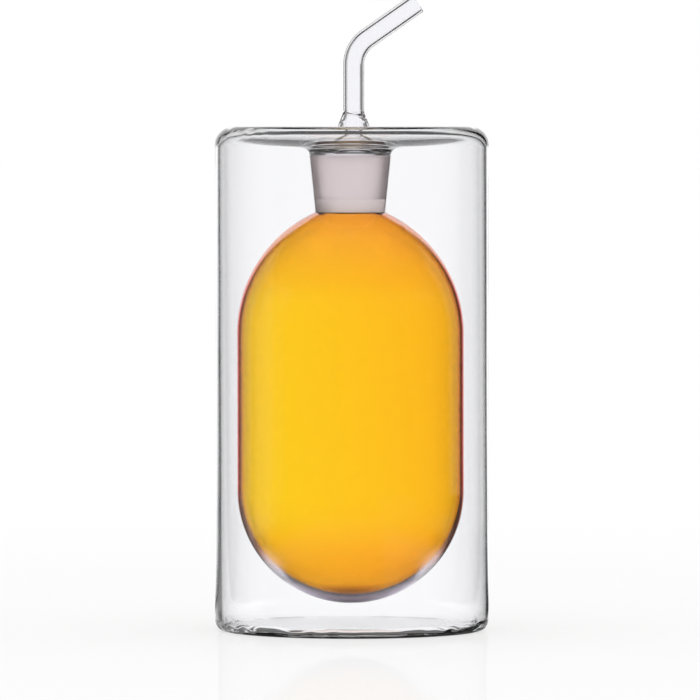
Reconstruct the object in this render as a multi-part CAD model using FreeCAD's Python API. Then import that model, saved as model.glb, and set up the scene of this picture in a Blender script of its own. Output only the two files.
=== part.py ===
import FreeCAD, Part
import math
import os

# Double-walled glass oil cruet: a clear cylinder with an amber vessel hanging inside it from a
# tapered neck, closed by a hollow ground stopper that carries a bent pouring spout.
# Millimetres, +Z up, origin at the middle of the foot, spout leaning towards +X.

# clear outer shell
body_width = 75.0
body_height = 138.0
wall = 1.2
base_thickness = 1.5
plate_thickness = 1.5
shoulder_rounding = 5.0
foot_rounding = 2.8
wall_unevenness = 0.3  # the drawn tube is this much thinner towards +X and thicker towards -X

# top plate, dished towards the neck
dish_slope = 10.0  # degrees
collar_thickness = 2.6  # the plate where it runs into the neck
seam_radius = 19.5  # where plate and neck are melted together

# neck with its tapered socket
neck_wall = 1.0
joint_radius = 10.2  # bore at the top of the ground stretch
joint_taper = 0.1  # change of radius for each millimetre of height
joint_length = 16.2
mouth_rounding = 0.9
neck_root_rounding = 2.0

# amber vessel
vessel_wall = 1.0
side_gap = 5.2
floor_gap = 6.0
shoulder_arc = 36.4  # larger than the vessel's own radius, so the shoulder comes to a point
vessel_offset = -0.45  # neck, vessel and stopper hang this far off the shell's axis

# stopper
ground_clearance = 0.02
head_sink = 0.7  # how far the stopper's head lies below the mouth
head_thickness = 1.8
head_rounding = 0.7
clear_collar = 1.5  # unground stretch under the head
stopper_length = 11.8  # ground stretch
stopper_wall = 1.3
stopper_inner_rounding = 1.0

# spout
spout_offset = 0.95  # the spout stands this far off the stopper's axis
tube_width = 5.7
tube_bore = 4.0
flare_radius = 6.2
flare_slope = 21.5  # degrees off the vertical
flare_wall = 1.3
flare_foot_rounding = 1.0
flare_top_rounding = 3.0
sleeve_height = 3.0  # straight top of the flare, up to where the drawn tube starts
bend_height = 21.5  # where the two runs of the spout meet, above the plate's rim
bend_angle = 55.0  # degrees off the vertical
bend_radius = 8.8
slant_length = 21.4
lip_rounding = 0.25

up = FreeCAD.Vector(0, 0, 1)


# levels and radii that follow from the sizes above


def dish_height(radius):
    """Top of the plate at this distance from the axis, as a cone that the rim rounds off."""
    return rim_corner - math.tan(dish_lean) * (body_radius - radius)


def bore_radius(height):
    """Inside of the tapered socket."""
    return joint_radius + joint_taper * (height - ground_top)


def plug_radius(height):
    """Outside of the stopper's cone."""
    return bore_radius(height) - ground_clearance


body_radius = body_width / 2
inner_radius = body_radius - wall
dish_lean = math.radians(dish_slope)
rim_corner = body_height + shoulder_rounding * (math.tan(dish_lean) + 1 / math.cos(dish_lean) - 1)
mouth_height = dish_height(joint_radius)
head_top = mouth_height - head_sink
head_bottom = head_top - head_thickness
ground_top = head_bottom - clear_collar
ground_bottom = ground_top - joint_length
stopper_bottom = ground_top - stopper_length
neck_bore = bore_radius(ground_bottom)
neck_radius = neck_bore + neck_wall
collar_radius = joint_radius + neck_wall
collar_height = dish_height(collar_radius) - collar_thickness

vessel_radius = inner_radius - side_gap
vessel_bottom = base_thickness + floor_gap
arc_middle = vessel_radius - shoulder_arc
arc_height = ground_bottom - math.sqrt(
    (shoulder_arc - vessel_wall) ** 2 - (neck_bore - arc_middle) ** 2
)
seam_height = arc_height + math.sqrt(shoulder_arc**2 - (neck_radius - arc_middle) ** 2)

spout_x = vessel_offset + spout_offset
tube_radius = tube_width / 2
bore = tube_bore / 2
flare_spread = math.tan(math.radians(flare_slope))
flare_top = head_top + (flare_radius - tube_radius) / flare_spread
tube_start = flare_top + sleeve_height
lean = math.radians(bend_angle)
knee = FreeCAD.Vector(spout_x, 0, body_height + bend_height)
slant = FreeCAD.Vector(math.sin(lean), 0, math.cos(lean))
tip = knee + slant * slant_length


# drawing helpers


def spot(radius, height):
    return FreeCAD.Vector(radius, 0, height)


def straight(start, end):
    return Part.LineSegment(spot(*start), spot(*end)).toShape()


def curved(start, end, centre):
    """The shorter arc from start to end about centre."""
    out = (spot(*start) + spot(*end)) * 0.5 - spot(*centre)
    radius = start[0] - centre[0], start[1] - centre[1]
    middle = spot(*centre) + out.normalize() * math.hypot(*radius)
    return Part.Arc(spot(*start), middle, spot(*end)).toShape()


def rounded(corners):
    """Edges of a closed outline through corners (radius, height) or (radius, height, rounding)."""
    count = len(corners)
    arcs = []
    for i, corner in enumerate(corners):
        here = spot(*corner[:2])
        rounding = corner[2] if len(corner) == 3 else 0
        back = (spot(*corners[i - 1][:2]) - here).normalize()
        ahead = (spot(*corners[(i + 1) % count][:2]) - here).normalize()
        half_turn = back.getAngle(ahead) / 2
        reach = rounding / math.tan(half_turn)
        depth = rounding / math.sin(half_turn) - rounding
        middle = here + (back + ahead).normalize() * depth
        arcs.append((here + back * reach, middle, here + ahead * reach))
    edges = []
    for i, (start, middle, end) in enumerate(arcs):
        if not start.isEqual(end, 1e-7):
            edges.append(Part.Arc(start, middle, end).toShape())
        following = arcs[(i + 1) % count][0]
        if not end.isEqual(following, 1e-7):
            edges.append(Part.LineSegment(end, following).toShape())
    return edges


def turned(edges, offset=0.0):
    """The closed outline turned once round an upright axis at x = offset."""
    solid = Part.Face(Part.Wire(edges)).revolve(spot(0, 0), up, 360)
    solid.translate(spot(offset, 0))
    return solid


def rings(shape, offset, radius, height, play=0.5):
    """Edges that run round the upright axis at x = offset, near this radius and height."""
    found = []
    for edge in shape.Edges:
        points = [] if edge.Degenerated else edge.discretize(9)
        off_ring = [math.hypot(p.x - offset, p.y) - radius for p in points]
        off_level = [p.z - height for p in points]
        if points and max(abs(gap) for gap in off_ring + off_level) < play:
            found.append(edge)
    return found


# clear outer shell and the middle of its plate


def jacket():
    """Wall, base and dished plate, still closed over the neck."""
    filled = turned(rounded([
        (0, 0),
        (body_radius, 0, foot_rounding),
        (body_radius, rim_corner, shoulder_rounding),
        (0, dish_height(0)),
    ]))
    ceiling = dish_height(inner_radius) - plate_thickness
    ceiling_slope = (ceiling - collar_height) / (inner_radius - collar_radius)
    hollow = turned(rounded([
        (0, base_thickness),
        (inner_radius, base_thickness, foot_rounding - wall),
        (inner_radius, ceiling, shoulder_rounding - wall),
        (0, collar_height - ceiling_slope * collar_radius),
    ]), wall_unevenness)
    return filled.cut(hollow)


def seam_disc():
    """Reaches out to the ring where plate and neck are melted together."""
    return Part.makeCylinder(seam_radius, body_height / 2, spot(vessel_offset, body_height / 2))


def outer_shell():
    return jacket().cut(seam_disc())


def neck_socket():
    """Middle of the plate and the tapered socket that hangs from it down to the vessel."""
    stem_top = collar_height + collar_thickness / 2
    stem = turned(rounded([
        (0, ground_bottom),
        (neck_bore, ground_bottom),
        (neck_radius, seam_height),
        (bore_radius(stem_top) + neck_wall, stem_top),
        (0, stem_top),
    ]), vessel_offset)
    below, above = ground_bottom - 1, body_height + 1
    passage = Part.makeCone(
        bore_radius(below), bore_radius(above), above - below, spot(vessel_offset, below)
    )
    socket = jacket().common(seam_disc()).fuse(stem).cut(passage)
    root = rings(socket, vessel_offset, bore_radius(collar_height) + neck_wall, collar_height)
    socket = socket.makeFillet(neck_root_rounding, root)
    mouth = rings(socket, vessel_offset, bore_radius(mouth_height), mouth_height)
    return socket.makeFillet(mouth_rounding, mouth)


# amber vessel


def inner_vessel():
    """Round bowl, straight side and pointed shoulder, open where the neck is melted on."""
    shoulder = (arc_middle, arc_height)
    bowl_height = vessel_bottom + vessel_radius
    inside = vessel_radius - vessel_wall
    return turned([
        curved((neck_radius, seam_height), (vessel_radius, arc_height), shoulder),
        straight((vessel_radius, arc_height), (vessel_radius, bowl_height)),
        curved((vessel_radius, bowl_height), (0, vessel_bottom), (0, bowl_height)),
        straight((0, vessel_bottom), (0, vessel_bottom + vessel_wall)),
        curved((0, vessel_bottom + vessel_wall), (inside, bowl_height), (0, bowl_height)),
        straight((inside, bowl_height), (inside, arc_height)),
        curved((inside, arc_height), (neck_bore, ground_bottom), shoulder),
        straight((neck_bore, ground_bottom), (neck_radius, seam_height)),
    ], vessel_offset)


# stopper with its spout


def spout_tube(radius):
    """A round rod of this radius along the spout's bent middle line."""
    reach = bend_radius * math.tan(lean / 2)
    depth = bend_radius / math.cos(lean / 2) - bend_radius
    start = FreeCAD.Vector(spout_x, 0, tube_start)
    bend_start = knee - up * reach
    bend_middle = knee + (slant - up).normalize() * depth
    bend_end = knee + slant * reach
    path = Part.Wire([
        Part.LineSegment(start, bend_start).toShape(),
        Part.Arc(bend_start, bend_middle, bend_end).toShape(),
        Part.LineSegment(bend_end, tip).toShape(),
    ])
    return path.makePipeShell([Part.Wire(Part.makeCircle(radius, start, up))], True, False)


def stopper_outside():
    """Cone, flat head and flare, with the drawn tube on top."""
    cone = turned(rounded([
        (0, stopper_bottom),
        (plug_radius(stopper_bottom), stopper_bottom),
        (plug_radius(head_top), head_top, head_rounding),
        (0, head_top),
    ]), vessel_offset)
    flare = turned(rounded([
        (0, head_bottom),
        (flare_radius, head_bottom),
        (flare_radius, head_top),
        (tube_radius, flare_top, flare_top_rounding),
        (tube_radius, tube_start),
        (0, tube_start),
    ]), spout_x)
    solid = cone.fuse([flare, spout_tube(tube_radius)])
    return solid.makeFillet(flare_foot_rounding, rings(solid, spout_x, flare_radius, head_top))


def stopper_inside():
    """Cup under the head, funnel through the flare, and the tube's bore."""
    below = stopper_bottom - 1
    cup = turned(rounded([
        (0, below),
        (plug_radius(below) - stopper_wall, below),
        (plug_radius(head_bottom) - stopper_wall, head_bottom, stopper_inner_rounding),
        (0, head_bottom),
    ]), vessel_offset)
    funnel_mouth = flare_radius - flare_wall + head_thickness * flare_spread
    funnel_top = head_bottom + (funnel_mouth - bore) / flare_spread
    funnel = turned(rounded([
        (0, head_bottom - 1),
        (funnel_mouth, head_bottom - 1),
        (funnel_mouth, head_bottom),
        (bore, funnel_top),
        (bore, tube_start),
        (0, tube_start),
    ]), spout_x)
    return [cup, funnel, spout_tube(bore)]


def pouring_stopper():
    solid = stopper_outside().cut(stopper_inside())
    lip = [edge for edge in solid.Edges if edge.CenterOfMass.isEqual(tip, lip_rounding / 2)]
    return solid.makeFillet(lip_rounding, lip)


os.makedirs("parts", exist_ok=True)
for make in (outer_shell, neck_socket, inner_vessel, pouring_stopper):
    shape = make()
    print(make.__name__, shape.ShapeType, len(shape.Solids), shape.isValid(), round(shape.Volume, 1))
    shape.exportStep(f"parts/{make.__name__}.step")
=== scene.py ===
import math

import bpy
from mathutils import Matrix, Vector, noise


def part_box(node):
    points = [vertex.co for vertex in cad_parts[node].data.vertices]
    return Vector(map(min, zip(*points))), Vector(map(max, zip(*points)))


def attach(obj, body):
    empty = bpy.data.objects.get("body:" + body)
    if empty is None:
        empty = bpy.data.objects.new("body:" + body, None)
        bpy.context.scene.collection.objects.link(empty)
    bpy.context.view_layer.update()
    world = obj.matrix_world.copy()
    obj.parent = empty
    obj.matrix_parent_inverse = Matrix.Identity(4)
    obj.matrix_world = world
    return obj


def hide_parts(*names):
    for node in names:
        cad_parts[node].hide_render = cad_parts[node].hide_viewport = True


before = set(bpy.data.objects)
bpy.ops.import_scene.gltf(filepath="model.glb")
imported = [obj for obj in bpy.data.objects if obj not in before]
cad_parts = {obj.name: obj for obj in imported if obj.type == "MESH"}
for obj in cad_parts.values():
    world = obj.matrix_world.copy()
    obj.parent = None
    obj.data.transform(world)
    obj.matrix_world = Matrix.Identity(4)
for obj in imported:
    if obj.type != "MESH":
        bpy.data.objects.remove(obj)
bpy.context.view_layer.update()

mm = 0.001
axisTurns = 240  # facets round every turned piece


def hexToLinear(text):
    values = [int(text[i:i + 2], 16) / 255 for i in (1, 3, 5)]
    return [v / 12.92 if v <= 0.04045 else ((v + 0.055) / 1.055) ** 2.4 for v in values] + [1.0]


def addNode(tree, kind, settings=None, **links):
    # settings fill the node's own properties or sockets, links join its sockets to other nodes' outputs
    node = tree.nodes.new("ShaderNode" + kind)
    for key, value in (settings or {}).items():
        if isinstance(key, int) or key in node.inputs:
            node.inputs[key].default_value = value
        else:
            setattr(node, key, value)
    for key, output in links.items():
        socket = int(key[1:]) if key[0] == "i" and key[1:].isdigit() else key.replace("_", " ")
        tree.links.new(output, node.inputs[socket])
    return node


def newMaterial(name):
    material = bpy.data.materials.new(name)
    material.use_nodes = True
    material.node_tree.nodes.clear()
    return material, material.node_tree


def fillRamp(ramp, stops):
    # stops are (share, linear colour), from left to right
    elements = ramp.color_ramp.elements
    while len(elements) < len(stops):
        elements.new(0.5)
    for element, (share, colour) in zip(elements, stops):
        element.position = share
    for element, (share, colour) in zip(elements, stops):
        element.color = colour


def perMetre(millimetres):
    # the scale at which a noise texture has one wave in this length
    return 1 / (millimetres * mm)


# outlines: corners are (radius, height, rounding, centre x), rings are (radius, height, centre x), all in mm


def outlineRings(corners, longest, arcStep=4.0, support=0.05):
    # support is how close to a rounding's end the first and last ring of a straight run stand
    stations = []
    for i, (radius, height, rounding, centre) in enumerate(corners):
        here = Vector((radius, height))
        if rounding == 0:
            stations.append(([here], centre))
            continue
        back = (Vector(corners[i - 1][:2]) - here).normalized()
        ahead = (Vector(corners[i + 1][:2]) - here).normalized()
        halfTurn = back.angle(ahead) / 2
        middle = here + (back + ahead).normalized() * (rounding / math.sin(halfTurn))
        reach, turn = rounding / math.tan(halfTurn), math.pi - 2 * halfTurn
        start, end = here + back * reach - middle, here + ahead * reach - middle
        steps = max(4, math.ceil(math.degrees(turn) / arcStep))
        points = []
        for k in range(steps + 1):
            near, far = math.sin(turn * (1 - k / steps)), math.sin(turn * k / steps)
            points.append(middle + (start * near + end * far) / math.sin(turn))
        stations.append((points, centre))
    rings = []
    for (points, centre), following in zip(stations, stations[1:] + [None]):
        rings += [(p.x, p.y, centre) for p in points]
        if following is None:
            break
        end, nextCentre = following[0][0], following[1]
        run = end - points[-1]
        if run.length < 4 * support:
            continue
        count = max(1, math.ceil((run.length - 2 * support) / longest))
        margin = support / run.length
        for k in range(count + 1):
            share = margin + (1 - 2 * margin) * k / count
            p = points[-1] + run * share
            rings.append((p.x, p.y, centre + (nextCentre - centre) * share))
    return rings


def levelRings(rings):
    return [(radius, (centre, 0, height), 0) for radius, height, centre in rings]


def ringPiece(name, rings, finishes, closed=False, uneven=None):
    # skins a row of rings, each (radius, centre, lean), into one mesh; a ring of no radius is a pole
    verts, starts, poles = [], [], []
    for index, (radius, centre, lean) in enumerate(rings):
        starts.append(len(verts))
        poles.append(radius < 1e-6)
        if poles[-1]:
            verts.append(Vector(centre) * mm)
            continue
        across = Vector((math.cos(lean), 0, -math.sin(lean)))
        for k in range(axisTurns):
            angle = 2 * math.pi * k / axisTurns
            point = Vector(centre) + radius * (math.cos(angle) * across + math.sin(angle) * Vector((0, 1, 0)))
            if uneven:
                point = uneven(index, point, angle)
            verts.append(point * mm)
    faces, slots = [], []
    count = len(rings)
    for i in range(count if closed else count - 1):
        low, high = starts[i], starts[(i + 1) % count]
        lowPole, highPole = poles[i], poles[(i + 1) % count]
        for k in range(axisTurns):
            n = (k + 1) % axisTurns
            if lowPole:
                faces.append((low, high + n, high + k))
            elif highPole:
                faces.append((low + k, low + n, high))
            else:
                faces.append((low + k, low + n, high + n, high + k))
            slots.append(finishes[i])
    mesh = bpy.data.meshes.new(name)
    mesh.from_pydata(verts, [], faces)
    mesh.shade_smooth()
    mesh.set_sharp_from_angle(angle=math.radians(40))
    mesh.polygons.foreach_set("material_index", slots)
    piece = bpy.data.objects.new(name, mesh)
    bpy.context.collection.objects.link(piece)
    return piece


# sizes that the glass pieces share, in millimetres

shellLow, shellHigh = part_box("outer_shell")
neckLow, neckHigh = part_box("neck_socket")
vesselLow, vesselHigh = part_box("inner_vessel")
stopperLow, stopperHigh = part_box("pouring_stopper")

joint = {
    "centre": (vesselLow[0] + vesselHigh[0]) / 2 / mm,  # neck, vessel and stopper hang off the shell's axis
    "groundTop": stopperLow[2] / mm + 11.8,
    "groundBottom": neckLow[2] / mm,
    "topRadius": 10.2,
    "taper": 0.1,  # change of radius for each millimetre of height
    "neckWall": 1.0,
}


def boreRadius(height):
    return joint["topRadius"] + joint["taper"] * (height - joint["groundTop"])


# clear shell, its dished plate and the neck, melted into one

shell = {
    "radius": (shellHigh[0] - shellLow[0]) / 2 / mm,
    "height": shellHigh[2] / mm,
    "wall": 1.2,
    "wallShift": 0.45,  # the drawn tube is thinner towards +X
    "base": 1.5,
    "plate": 1.5,
    "dishSlope": 10.0,
    "collar": 2.6,
    "shoulder": 5.0,
    "foot": 2.8,
    "neckRoot": 2.0,
    "neckFlat": 114.6,  # height where the neck's outside meets its lower edge
    "mouth": 0.9,
    "ringStep": 1.7,
    "footLump": 1.2,  # glass gathered unevenly inside the foot, most at the sides
    "rimLump": 0.125,  # and inside the rim, most away from the spout's tip
}


def buildShell():
    s, j = shell, joint
    lean = math.radians(s["dishSlope"])
    rim = s["height"] + s["shoulder"] * (math.tan(lean) + 1 / math.cos(lean) - 1)

    def dish(radius):
        return rim - math.tan(lean) * (s["radius"] - radius)

    inner = s["radius"] - s["wall"]
    mouthHeight = dish(j["topRadius"])
    ceiling = dish(inner) - s["plate"]
    collarHeight = dish(j["topRadius"] + j["neckWall"]) - s["collar"]
    bore, root = boreRadius(j["groundBottom"]), boreRadius(collarHeight) + j["neckWall"]
    c = j["centre"]
    rings = outlineRings([
        (0, 0, 0, 0),
        (s["radius"], 0, s["foot"], 0),
        (s["radius"], rim, s["shoulder"], 0),
        (boreRadius(mouthHeight), mouthHeight, s["mouth"], c),
        (bore, j["groundBottom"], 0, c),
        (bore + j["neckWall"], s["neckFlat"], 0, c),
        (root, collarHeight, s["neckRoot"], c),
        (inner, ceiling, s["shoulder"] - s["wall"], 0),
        (inner, s["base"], s["foot"] - s["wall"], s["wallShift"]),
        (0, s["base"], 0, s["wallShift"]),
    ], s["ringStep"])
    finishes = []
    for (r0, z0, c0), (r1, z1, c1) in zip(rings, rings[1:]):
        level, reach = (z0 + z1) / 2, (r0 + r1) / 2
        onTaper = abs(reach - boreRadius(level)) < 0.2
        finishes.append(1 if onTaper and j["groundBottom"] < level < j["groundTop"] else 0)

    def seamShare(radius, height, acrossSeam, seamLevel, spread):
        # 1 on the seam, less and less around it
        return math.exp(-((radius - acrossSeam) ** 2 + (height - seamLevel) ** 2) / spread)

    def uneven(index, point, angle):
        radius, height, centre = rings[index]
        if height <= 1 or radius >= s["radius"] - 0.3:
            return point
        slow = Vector((math.cos(angle) * 3, math.sin(angle) * 3, height * 0.12))
        fine = Vector((math.cos(angle) * 9, math.sin(angle) * 9, height * 0.3))
        swell = noise.noise(slow) + 0.6 * noise.noise(fine)
        footShare = seamShare(radius, height, inner - 1, s["base"] + 0.6, 3.0) * abs(math.cos(angle))
        rimShare = seamShare(radius, height, inner - 1.5, ceiling - 1.2, 5.0) * (0.5 - 0.5 * math.cos(angle))
        point.z += swell * s["footLump"] * footShare - abs(swell) * s["rimLump"] * rimShare
        return point

    piece = ringPiece("clearShell", levelRings(rings), finishes, uneven=uneven)
    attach(piece, "root")
    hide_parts("outer_shell", "neck_socket")
    return piece


# amber vessel, blown, so its ends are thicker than its side

vessel = {
    "radius": (vesselHigh[0] - vesselLow[0]) / 2 / mm,
    "bottom": vesselLow[2] / mm,
    "side": 1.0,
    "bottomWall": 1.9,
    "shoulderWall": 1.2,
    "shoulderArc": 36.4,
    "gap": 0.03,  # between the vessel's mouth and the neck's lower edge
    "bowlSteps": 90,
    "sideSteps": 20,
    "shoulderSteps": 60,
}


def buildVessel():
    v, c = vessel, joint["centre"]
    neck = boreRadius(joint["groundBottom"])
    arcMiddle = v["radius"] - v["shoulderArc"]
    arcDrop = math.sqrt((v["shoulderArc"] - v["side"]) ** 2 - (neck - arcMiddle) ** 2)
    arcHeight = joint["groundBottom"] - arcDrop
    bowl = v["bottom"] + v["radius"]
    outer, inner = [], []

    def addPoint(radius, height, across, up, wall):
        # a point of the outside, and the one behind it, through the wall
        outer.append((radius, height))
        inner.append((max(0.0, radius - across * wall), height - up * wall))

    for k in range(v["bowlSteps"] + 1):
        angle = math.pi / 2 * k / v["bowlSteps"]
        across, up = math.sin(angle), -math.cos(angle)
        wall = v["side"] + (v["bottomWall"] - v["side"]) * math.cos(angle) ** 1.5
        addPoint(v["radius"] * across, bowl + v["radius"] * up, across, up, wall)
    for k in range(1, v["sideSteps"] + 1):
        addPoint(v["radius"], bowl + (arcHeight - bowl) * k / v["sideSteps"], 1, 0, v["side"])
    last = math.acos((neck + joint["neckWall"] - arcMiddle) / v["shoulderArc"])
    for k in range(1, v["shoulderSteps"] + 1):
        share = k / v["shoulderSteps"]
        across, up = math.cos(last * share), math.sin(last * share)
        bulge = share ** 1.5 * (1 - max(0, share - 0.8) * 5)  # back to the side's thickness at the mouth
        wall = v["side"] + (v["shoulderWall"] - v["side"]) * bulge
        addPoint(arcMiddle + v["shoulderArc"] * across, arcHeight + v["shoulderArc"] * up, across, up, wall)
    rings = [(radius, height - v["gap"], c) for radius, height in outer + inner[::-1]]
    finishes = [1 if i >= len(outer) else 0 for i in range(len(rings) - 1)]
    piece = ringPiece("amberVessel", levelRings(rings), finishes)
    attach(piece, "root")
    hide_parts("inner_vessel")
    return piece


# hollow stopper with its bent pouring tube

stopper = {
    "clearance": 0.02,
    "bottom": stopperLow[2] / mm,
    "headTop": 133.445,
    "headThickness": 1.8,
    "headRounding": 0.7,
    "wall": 1.3,
    "innerRounding": 1.0,
    "spoutX": 0.5,
    "tube": 2.85,
    "bore": 2.0,
    "flare": 6.2,
    "flareSlope": 21.5,
    "flareWall": 1.3,
    "flareFoot": 1.0,
    "flareTop": 3.0,
    "funnelTop": 1.5,
    "funnelFoot": 0.5,
    "sleeve": 3.0,
    "kneeHeight": 159.5,
    "bend": 55.0,
    "bendRadius": 8.8,
    "slant": 21.4,
    "lip": 0.4,
    "weldHeight": 141.35,  # the weld between tube and foot leaves a slanted ring
    "weldSlant": 0.26,
    "weldDepth": 0.3,
    "weldWidth": 0.16,
    "weldSpan": (138.0, 142.6),
    "weldStep": 0.09,
    "weldReach": (137.0, 143.5),  # heights between which the skin is moved at all
    "dropHeight": 139.2,  # and a thick drop on either side below it
    "dropLength": 0.4,
    "drop": 0.25,
}


def slantOf(t):
    lean = math.radians(t["bend"])
    return lean, Vector((math.sin(lean), 0, math.cos(lean)))


def spoutRings(radius, start):
    # along the tube's middle line, from this height up to the lip
    t = stopper
    lean, slant = slantOf(t)
    reach = t["bendRadius"] * math.tan(lean / 2)
    bendStart = t["kneeHeight"] - reach
    rings = []
    for k in range(13):
        rings.append((radius, (t["spoutX"], 0, start + (bendStart - start) * k / 12), 0))
    for k in range(1, 29):
        angle = lean * k / 28
        x = t["spoutX"] + t["bendRadius"] * (1 - math.cos(angle))
        rings.append((radius, (x, 0, bendStart + t["bendRadius"] * math.sin(angle)), angle))
    knee = Vector((t["spoutX"], 0, t["kneeHeight"]))
    final = t["slant"] - t["lip"]
    for k in range(1, 9):
        centre = knee + slant * (reach + (final - reach) * k / 8)
        rings.append((radius, tuple(centre), lean))
    return rings


def lipRings():
    # round the fire-polished end of the tube, from its outside to its bore
    t = stopper
    lean, slant = slantOf(t)
    tip = Vector((t["spoutX"], 0, t["kneeHeight"])) + slant * t["slant"]

    def edgeRings(side, inwards):
        # over one rounded edge, from the side of the wall up to its end
        rings = []
        for k in range(1, 9):
            angle = math.pi / 2 * k / 8
            centre = tip - slant * t["lip"] * (1 - math.sin(angle))
            rings.append((side + inwards * t["lip"] * (1 - math.cos(angle)), tuple(centre), lean))
        return rings

    return edgeRings(t["tube"], -1) + edgeRings(t["bore"], 1)[::-1]


def refineWeld(rings):
    # more rings where the weld is, so that its fine ring keeps its shape
    low, high = stopper["weldSpan"]
    result = rings[:1]
    for (r0, z0, c0), (r1, z1, c1) in zip(rings, rings[1:]):
        parts = 1
        if low < (z0 + z1) / 2 < high:
            parts = max(1, math.ceil(math.hypot(r1 - r0, z1 - z0) / stopper["weldStep"]))
        for k in range(1, parts + 1):
            share = k / parts
            result.append((r0 + (r1 - r0) * share, z0 + (z1 - z0) * share, c0 + (c1 - c0) * share))
    return result


def buildStopper():
    t, j = stopper, joint
    c, x = j["centre"], t["spoutX"]

    def plug(height):
        return boreRadius(height) - t["clearance"]

    slope = math.tan(math.radians(t["flareSlope"]))
    headBottom = t["headTop"] - t["headThickness"]
    flareTop = t["headTop"] + (t["flare"] - t["tube"]) / slope
    tubeStart = flareTop + t["sleeve"]
    outside = refineWeld(outlineRings([
        (plug(t["bottom"]) - 0.001, t["bottom"], 0, c),
        (plug(t["headTop"]), t["headTop"], t["headRounding"], c),
        (t["flare"], t["headTop"], t["flareFoot"], x),
        (t["tube"], flareTop, t["flareTop"], x),
        (t["tube"], tubeStart, 0, x),
    ], longest=1.0))
    mouth = t["flare"] - t["flareWall"] + t["headThickness"] * slope
    funnelTop = headBottom + (mouth - t["bore"]) / slope
    inside = refineWeld(outlineRings([
        (t["bore"], tubeStart, 0, x),
        (t["bore"], funnelTop, t["funnelTop"], x),
        (mouth, headBottom, t["funnelFoot"], x),
        (plug(headBottom) - t["wall"], headBottom, t["innerRounding"], c),
        (plug(t["bottom"]) - t["wall"], t["bottom"], 0, c),
    ], longest=1.0))
    rings = levelRings(outside[:-1]) + spoutRings(t["tube"], tubeStart) + lipRings()
    rings += spoutRings(t["bore"], tubeStart)[::-1] + levelRings(inside[1:])
    finishes = []
    for i, (radius, centre, lean) in enumerate(rings):
        onTaper = i < len(outside) and abs(radius - plug(centre[2])) < 0.05
        finishes.append(1 if onTaper and centre[2] < j["groundTop"] else 0)

    def uneven(index, point, angle):
        low, high = t["weldReach"]
        if not low < point.z < high or index == len(rings) - 1:
            return point
        outwards = Vector((math.cos(angle), math.sin(angle), 0))
        above = point.z - (t["weldHeight"] - t["weldSlant"] * (point.x - x))
        weld = t["weldDepth"] * math.exp(-(above / t["weldWidth"]) ** 2)
        if index < len(outside):
            return point - outwards * weld
        beside = abs(math.cos(angle)) ** 6
        drop = t["drop"] * math.exp(-((point.z - t["dropHeight"]) / t["dropLength"]) ** 2) * beside
        return point + outwards * (weld + drop)

    piece = ringPiece("pouringStopper", rings, finishes, closed=True, uneven=uneven)
    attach(piece, "root")
    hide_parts("pouring_stopper")
    return piece


# borosilicate glass, drawn as tube and fire-polished: as clear as water, with a thin dark line where
# a wall turns away, and slow draw marks that bend those lines a little

drawnGlass = {
    "shell": "#FEFEFF",
    "stopper": "#FCFCFE",
    "ior": 1.47,
    "drawMark": 16.667,  # millimetres from one to the next
    "markHeight": 0.4,
    "markStrength": 0.05,
}


def makeDrawnGlass(name, colour):
    g = drawnGlass
    material, tree = newMaterial(name)
    place = addNode(tree, "TexCoord")
    marks = addNode(tree, "TexNoise", {"Scale": perMetre(g["drawMark"]), "Detail": 1.0},
                    Vector=place.outputs["Object"])
    bump = addNode(tree, "Bump", {"Strength": g["markStrength"], "Distance": g["markHeight"] * mm},
                   Height=marks.outputs["Fac"])
    glass = addNode(tree, "BsdfPrincipled", {
        "Base Color": hexToLinear(colour), "Roughness": 0.0, "IOR": g["ior"], "Transmission Weight": 1.0,
    }, Normal=bump.outputs["Normal"])
    addNode(tree, "OutputMaterial", Surface=glass.outputs["BSDF"])
    return material


# the same glass ground with fine grit: a frosted skin that turns what lies behind it to an even grey; the
# socket's skin is tinted pink, which is painted amber light bounced up from the vessel below

groundGlass = {
    # the pink in the socket's colour is painted light: amber light bounced up from the vessel below
    "socket": ("#E2D6D4", 0.8, 0.9),  # colour, least and most roughness
    "cone": ("#FEFEFF", 0.35, 0.45),
    "ior": 1.15,  # low, since the two ground skins lie in each other and pass more light on than one in air
    "grit": 0.6667,  # millimetres; real grit is about 0.05, too fine to show
    "gritHeight": 0.05,
    "gritStrength": 0.15,
}


def makeGroundGlass(name, colour, finest, coarsest):
    g = groundGlass
    material, tree = newMaterial(name)
    place = addNode(tree, "TexCoord")
    grit = addNode(tree, "TexNoise", {"Scale": perMetre(g["grit"]), "Detail": 4.0},
                   Vector=place.outputs["Object"])
    rough = addNode(tree, "MapRange", {"To Min": finest, "To Max": coarsest}, Value=grit.outputs["Fac"])
    bump = addNode(tree, "Bump", {"Strength": g["gritStrength"], "Distance": g["gritHeight"] * mm},
                   Height=grit.outputs["Fac"])
    glass = addNode(tree, "BsdfPrincipled", {
        "Base Color": hexToLinear(colour), "IOR": g["ior"], "Transmission Weight": 1.0,
    }, Roughness=rough.outputs["Result"], Normal=bump.outputs["Normal"])
    addNode(tree, "OutputMaterial", Surface=glass.outputs["BSDF"])
    return material


# amber borosilicate, blown: honey yellow where two walls overlap and orange at both ends. The colour lies
# mostly on the inside, so a pale lilac rim stays round it where the wall is thick; along the thin part
# the outside is stained too and turns red-brown where it is seen edge-on. At the very bottom the colours
# turn dark brown inside and near black outside: painted shade where the bowl turns down into the foot

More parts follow.
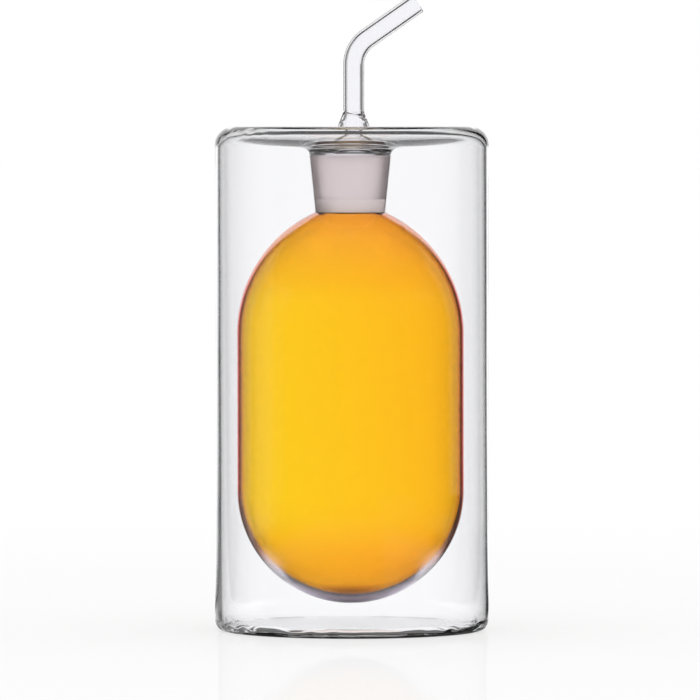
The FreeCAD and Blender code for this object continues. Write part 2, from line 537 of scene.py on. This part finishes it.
amber = {
    # colours by height, 0 at the lowest and 1 at the neck; the dark stops at the lowest end, up to about
    # 0.036, are painted shade where the bowl turns down into the foot
    "heights": (6.0, 116.0),
    "inner": [(0.0, "#7A3008"), (0.026, "#A85210"), (0.035, "#FFB028"), (0.05, "#FFC02C"), (0.1, "#FFBA20"),
              (0.2, "#FFF63A"), (0.27, "#FFFF3C"), (0.7, "#FFFC3C"), (0.77, "#FFFA42"), (0.92, "#FDD852"),
              (1.0, "#F3AE41")],
    "outer": [(0.0, "#140C1C"), (0.013, "#201428"), (0.02, "#A890A8"), (0.03, "#FCF0F6"), (0.09, "#FBF2FA"),
              (0.16, "#FFD4A8"), (0.25, "#FFCE88"), (0.82, "#FFCE88"), (0.92, "#FFD6A2"), (1.0, "#FFE0C0")],
    "edge": [(0.0, "#0C0612"), (0.022, "#140C1C"), (0.036, "#9888A8"), (0.055, "#C8BCD8"), (0.09, "#E8E0F4"),
             (0.14, "#FF6838"), (0.3, "#FF1808"), (0.8, "#FF1808"), (0.92, "#FF6838"), (1.0, "#E86040")],
    "edgeOn": (0.6, 0.8),  # where the edge's colours set in and are full, 0 face-on and 1 edge-on
    "warmer": (1.0, 0.79, 0.95, 1.0),  # the side towards the spout's tip leans to orange
    "warmFrom": (-22.0, 28.0),
    "wave": 25.0,  # millimetres from one wave of the blown skin to the next
    "waveHeight": 0.4,
    "waveStrength": 0.05,
}


def heightColour(tree, spot, stops):
    low, high = amber["heights"]
    level = addNode(tree, "MapRange", {"From Min": low * mm, "From Max": high * mm}, Value=spot.outputs["Z"])
    ramp = addNode(tree, "ValToRGB", Fac=level.outputs[0])
    fillRamp(ramp, [(share, hexToLinear(colour)) for share, colour in stops])
    return ramp.outputs[0]


def makeAmberGlass(name, inside):
    a = amber
    material, tree = newMaterial(name)
    place = addNode(tree, "TexCoord")
    wave = addNode(tree, "TexNoise", {"Scale": perMetre(a["wave"]), "Detail": 1.0},
                   Vector=place.outputs["Object"])
    bump = addNode(tree, "Bump", {"Strength": a["waveStrength"], "Distance": a["waveHeight"] * mm},
                   Height=wave.outputs["Fac"])
    spot = addNode(tree, "SeparateXYZ", Vector=place.outputs["Object"])
    if inside:
        side = addNode(tree, "MapRange", {
            "From Min": a["warmFrom"][0] * mm, "From Max": a["warmFrom"][1] * mm,
        }, Value=spot.outputs["X"])
        colour = addNode(tree, "Mix", {"data_type": "RGBA", "blend_type": "MULTIPLY", 7: a["warmer"]},
                         i0=side.outputs[0], i6=heightColour(tree, spot, a["inner"]))
    else:
        facing = addNode(tree, "LayerWeight", {"Blend": 0.5})
        edgeOn = addNode(tree, "MapRange", {"From Min": a["edgeOn"][0], "From Max": a["edgeOn"][1]},
                         Value=facing.outputs["Facing"])
        colour = addNode(tree, "Mix", {"data_type": "RGBA"}, i0=edgeOn.outputs[0],
                         i6=heightColour(tree, spot, a["outer"]), i7=heightColour(tree, spot, a["edge"]))
    glass = addNode(tree, "BsdfPrincipled", {
        "Roughness": 0.0, "IOR": drawnGlass["ior"], "Transmission Weight": 1.0,
    }, Base_Color=colour.outputs[2], Normal=bump.outputs["Normal"])
    addNode(tree, "OutputMaterial", Surface=glass.outputs["BSDF"])
    return material


shellPiece = buildShell()
shellPiece.data.materials.append(makeDrawnGlass("clearBorosilicate", drawnGlass["shell"]))
shellPiece.data.materials.append(makeGroundGlass("groundSocketGlass", *groundGlass["socket"]))
print("shell and neck")

vesselPiece = buildVessel()
vesselPiece.data.materials.append(makeAmberGlass("amberOutside", inside=False))
vesselPiece.data.materials.append(makeAmberGlass("amberInside", inside=True))
print("amber vessel")

stopperPiece = buildStopper()
stopperPiece.data.materials.append(makeDrawnGlass("stopperBorosilicate", drawnGlass["stopper"]))
stopperPiece.data.materials.append(makeGroundGlass("groundConeGlass", *groundGlass["cone"]))
print("stopper and spout")


# studio: white floor and white background; what the glass mirrors is darker, which draws its edges

studio = {
    "floorHalf": 20.0,
    "floorGlow": 0.7,  # the share of the floor's white that no shadow takes away
    "floorShade": "#959595",  # and the share that a shadow does
    "floorDull": "#E7E7E7",  # how the floor lights dull surfaces
    "floorShine": 0.12,
    "shineEdgeOn": (0.85, 0.95),
    "shineReach": (0.2, 0.6),  # metres from the middle, as are the other reaches
    "underFloor": 0.06,  # how bright the glass mirrors the floor under its foot
    "underReach": (0.028, 0.036),
    "ring": 1.0,  # how bright it mirrors the floor just behind the foot
    "ringFront": 0.15,  # in front of the foot
    "ringFrontToBack": (-0.01, 0.03),
    "ringBeside": 0.05,  # and beside it
    "besideReach": (0.040, 0.060),
    "ringReach": (0.07, 0.11),
    "farReach": (0.45, 0.65),
    "white": 0.88,  # how bright white is behind glass, before each surface's share is added
    "turnedBack": 0.056,  # added for each surface that light passes, about what it turned away
    "most": 1.6,  # so behind three surfaces or more it is brighter than plain white, which is 1
    "overhead": 0.1,
    "overheadFrom": (0.45, 0.6),  # height of a direction, 0 level and 1 straight up
    # brightness by compass bearing in degrees, clockwise from +Y
    "mirrored": [(-180, 0.04), (-115, 0.04), (-111, 0.04), (-108, 0.2), (-72, 0.2), (-69, 0.04), (-64, 0.04),
                 (-61, 0.25), (-35, 0.25), (-32, 0.04), (-25, 0.04), (-21.5, 1.0), (19, 1.0), (22, 0.04),
                 (34, 0.04), (37, 0.25), (61, 0.25), (64, 0.04), (180, 0.04)],
    "mirroredFloor": [(-180, 0.04), (-115, 0.04), (-111, 0.04), (-108, 0.2), (-72, 0.2), (-69, 0.04),
                      (-64, 0.04), (-61, 0.25), (-35, 0.25), (-32, 0.04), (-25, 0.04), (-21.5, 1.0),
                      (19, 1.0), (22, 0.04), (112, 0.04), (118, 0.15), (152, 0.15), (158, 0.04), (180, 0.04)],
    "seen": [(-180, 1.0), (-72, 1.0), (-69, 0.25), (-66, 0.25), (-63, 1.0), (-28, 1.0), (-26, 0.25),
             (-24, 0.25), (-22, 1.0), (19, 1.0), (22, 0.38), (65, 0.38), (80, 1.0), (180, 1.0)],
}


def bearingLevel(tree, parts, stops):
    # brightness by the bearing of a direction or of a spot on the floor
    turn = addNode(tree, "Math", {"operation": "ARCTAN2"}, i0=parts.outputs["X"], i1=parts.outputs["Y"])
    share = addNode(tree, "MapRange", {"From Min": -math.pi, "From Max": math.pi}, Value=turn.outputs[0])
    ramp = addNode(tree, "ValToRGB", Fac=share.outputs[0])
    fillRamp(ramp, [((bearing + 180) / 360, (level, level, level, 1)) for bearing, level in stops])
    return ramp.outputs[0]


def throughGlass(tree, rays):
    # 1 for light that glass mirrors or lets through to the eye, 0 for light that falls on a dull surface
    glassy = addNode(tree, "Math", {"operation": "MAXIMUM"}, i0=rays.outputs["Is Glossy Ray"],
                     i1=rays.outputs["Is Transmission Ray"])
    direct = addNode(tree, "Math", {"operation": "LESS_THAN", 1: 0.5}, i0=rays.outputs["Diffuse Depth"])
    both = addNode(tree, "Math", {"operation": "MULTIPLY"}, i0=glassy.outputs[0], i1=direct.outputs[0])
    return both.outputs[0]


def mirroredShare(tree, rays):
    # 1 for light that a surface has mirrored on its way here, 0 for light that only passed through
    turned = addNode(tree, "Math", {"operation": "GREATER_THAN", 1: 0.5}, i0=rays.outputs["Glossy Depth"])
    return turned.outputs[0]


def whiteBehindGlass(tree, rays):
    # white stays nearly white through one glass or several, though each surface turns a little light back
    given = addNode(tree, "Math", {"operation": "MULTIPLY_ADD", 1: studio["turnedBack"], 2: studio["white"]},
                    i0=rays.outputs["Transmission Depth"])
    return addNode(tree, "Math", {"operation": "MINIMUM", 1: studio["most"]}, i0=given.outputs[0]).outputs[0]


def softStep(reach, start=0.0, end=1.0):
    # settings of a map range that eases from start to end over this reach
    return {"interpolation_type": "SMOOTHSTEP", "From Min": reach[0], "From Max": reach[1],
            "To Min": start, "To Max": end}


def floorWhite(tree, away):
    # what the eye sees of the floor itself: white, shadowed a little, with a faint shine near the foot
    s = studio
    shade = addNode(tree, "BsdfDiffuse", {"Color": hexToLinear(s["floorShade"])})
    glow = addNode(tree, "Emission", {"Strength": s["floorGlow"]})
    lit = addNode(tree, "AddShader", i0=shade.outputs[0], i1=glow.outputs[0])
    shine = addNode(tree, "BsdfGlossy", {"Roughness": 0.03})
    facing = addNode(tree, "LayerWeight", {"Blend": 0.5})
    edgeOn = addNode(tree, "MapRange", {
        "From Min": s["shineEdgeOn"][0], "From Max": s["shineEdgeOn"][1], "To Max": s["floorShine"],
    }, Value=facing.outputs["Facing"])
    fade = addNode(tree, "MapRange", softStep(s["shineReach"], 1.0, 0.0), Value=away)
    share = addNode(tree, "Math", {"operation": "MULTIPLY"}, i0=edgeOn.outputs[0], i1=fade.outputs[0])
    return addNode(tree, "MixShader", i0=share.outputs[0], i1=lit.outputs[0], i2=shine.outputs[0])


def floorMirrored(tree, spot, away):
    # how bright the glass mirrors each spot of the floor: dark under the foot, a ring that is bright behind
    # it, and by bearing farther out
    s = studio
    clear = addNode(tree, "MapRange", softStep(s["underReach"]), Value=away)
    past = addNode(tree, "MapRange", softStep(s["ringReach"]), Value=away)
    far = addNode(tree, "MapRange", softStep(s["farReach"]), Value=away)
    around = addNode(tree, "Mix", {"data_type": "FLOAT"}, i0=far.outputs[0],
                     i2=bearingLevel(tree, spot, s["mirroredFloor"]),
                     i3=bearingLevel(tree, spot, s["mirrored"]))
    behind = addNode(tree, "MapRange", softStep(s["ringFrontToBack"], s["ringFront"], s["ring"]),
                     Value=spot.outputs["Y"])
    sideways = addNode(tree, "Math", {"operation": "ABSOLUTE"}, i0=spot.outputs["X"])
    beside = addNode(tree, "MapRange", softStep(s["besideReach"], 1.0, s["ringBeside"]),
                     Value=sideways.outputs[0])
    ring = addNode(tree, "Math", {"operation": "MULTIPLY"}, i0=behind.outputs[0], i1=beside.outputs[0])
    outside = addNode(tree, "Mix", {"data_type": "FLOAT"}, i0=past.outputs[0], i2=ring.outputs[0],
                      i3=around.outputs[0])
    return addNode(tree, "Mix", {"data_type": "FLOAT", 2: s["underFloor"]}, i0=clear.outputs[0],
                   i3=outside.outputs[0])


def makeFloor():
    h = studio["floorHalf"]
    mesh = bpy.data.meshes.new("studioFloor")
    mesh.from_pydata([(-h, -h, 0), (h, -h, 0), (h, h, 0), (-h, h, 0)], [], [(0, 1, 2, 3)])
    floor = bpy.data.objects.new("studioFloor", mesh)
    bpy.context.collection.objects.link(floor)
    floor.location.z = -0.02 * mm  # just under the foot, so that the two faces never lie in one another
    material, tree = newMaterial("whiteAcrylicSheet")
    rays = addNode(tree, "LightPath")
    place = addNode(tree, "TexCoord")
    spot = addNode(tree, "SeparateXYZ", Vector=place.outputs["Object"])
    away = addNode(tree, "VectorMath", {"operation": "LENGTH"}, i0=place.outputs["Object"]).outputs["Value"]
    dull = addNode(tree, "BsdfDiffuse", {"Color": hexToLinear(studio["floorDull"])})
    mirrored = addNode(tree, "Emission", Strength=floorMirrored(tree, spot, away).outputs[0])
    through = addNode(tree, "Emission", Strength=whiteBehindGlass(tree, rays))
    inGlass = addNode(tree, "MixShader", i0=mirroredShare(tree, rays), i1=through.outputs[0],
                      i2=mirrored.outputs[0])
    unseen = addNode(tree, "MixShader", i0=throughGlass(tree, rays), i1=dull.outputs[0],
                     i2=inGlass.outputs[0])
    sheet = addNode(tree, "MixShader", i0=rays.outputs["Is Camera Ray"], i1=unseen.outputs[0],
                    i2=floorWhite(tree, away).outputs[0])
    addNode(tree, "OutputMaterial", Surface=sheet.outputs[0])
    mesh.materials.append(material)


def makeWorld():
    # white to the eye, plain light of strength 1 on dull surfaces, and a set of light and dark in glass
    world = bpy.data.worlds.new("studioWorld")
    bpy.context.scene.world = world
    world.use_nodes = True
    tree = world.node_tree
    tree.nodes.clear()
    rays = addNode(tree, "LightPath")
    place = addNode(tree, "TexCoord")
    direction = addNode(tree, "SeparateXYZ", Vector=place.outputs["Generated"])
    seen = addNode(tree, "Math", {"operation": "MULTIPLY"}, i0=bearingLevel(tree, direction, studio["seen"]),
                   i1=whiteBehindGlass(tree, rays))
    around = addNode(tree, "Mix", {"data_type": "FLOAT"}, i0=mirroredShare(tree, rays), i2=seen.outputs[0],
                     i3=bearingLevel(tree, direction, studio["mirrored"]))
    high = addNode(tree, "MapRange", softStep(studio["overheadFrom"], 1.0, studio["overhead"]),
                   Value=direction.outputs["Z"])
    inGlass = addNode(tree, "Math", {"operation": "MULTIPLY"}, i0=around.outputs[0], i1=high.outputs[0])
    level = addNode(tree, "Mix", {"data_type": "FLOAT", 2: 1.0}, i0=throughGlass(tree, rays),
                    i3=inGlass.outputs[0])
    strength = addNode(tree, "Mix", {"data_type": "FLOAT", 3: 1.0}, i0=rays.outputs["Is Camera Ray"],
                       i2=level.outputs[0])
    sky = addNode(tree, "Background", {"Color": hexToLinear("#FFFFFF")}, Strength=strength.outputs[0])
    addNode(tree, "OutputWorld", Surface=sky.outputs[0])


# metres; across is how wide the camera's view is at the cruet

view = {"distance": 2.0, "height": 0.140, "aim": 0.0768, "side": -0.0005, "across": 0.19178}


def makeCamera():
    data = bpy.data.cameras.new("camera")
    camera = bpy.data.objects.new("camera", data)
    bpy.context.collection.objects.link(camera)
    place = Vector((view["side"], -view["distance"], view["height"]))
    target = Vector((view["side"], 0, view["aim"]))
    camera.location = place
    camera.rotation_mode = "QUATERNION"
    camera.rotation_quaternion = (target - place).to_track_quat("-Z", "Y")
    data.lens = data.sensor_width * (target - place).length / view["across"]
    data.clip_start, data.clip_end = 0.1, 100
    bpy.context.scene.camera = camera


makeFloor()
makeWorld()
makeCamera()
print("studio")

scene = bpy.context.scene
scene.view_settings.view_transform = "Standard"
scene.cycles.max_bounces = 40  # light crosses up to twelve surfaces and turns inside the thick ones
scene.cycles.transmission_bounces = 32
scene.cycles.glossy_bounces = 16
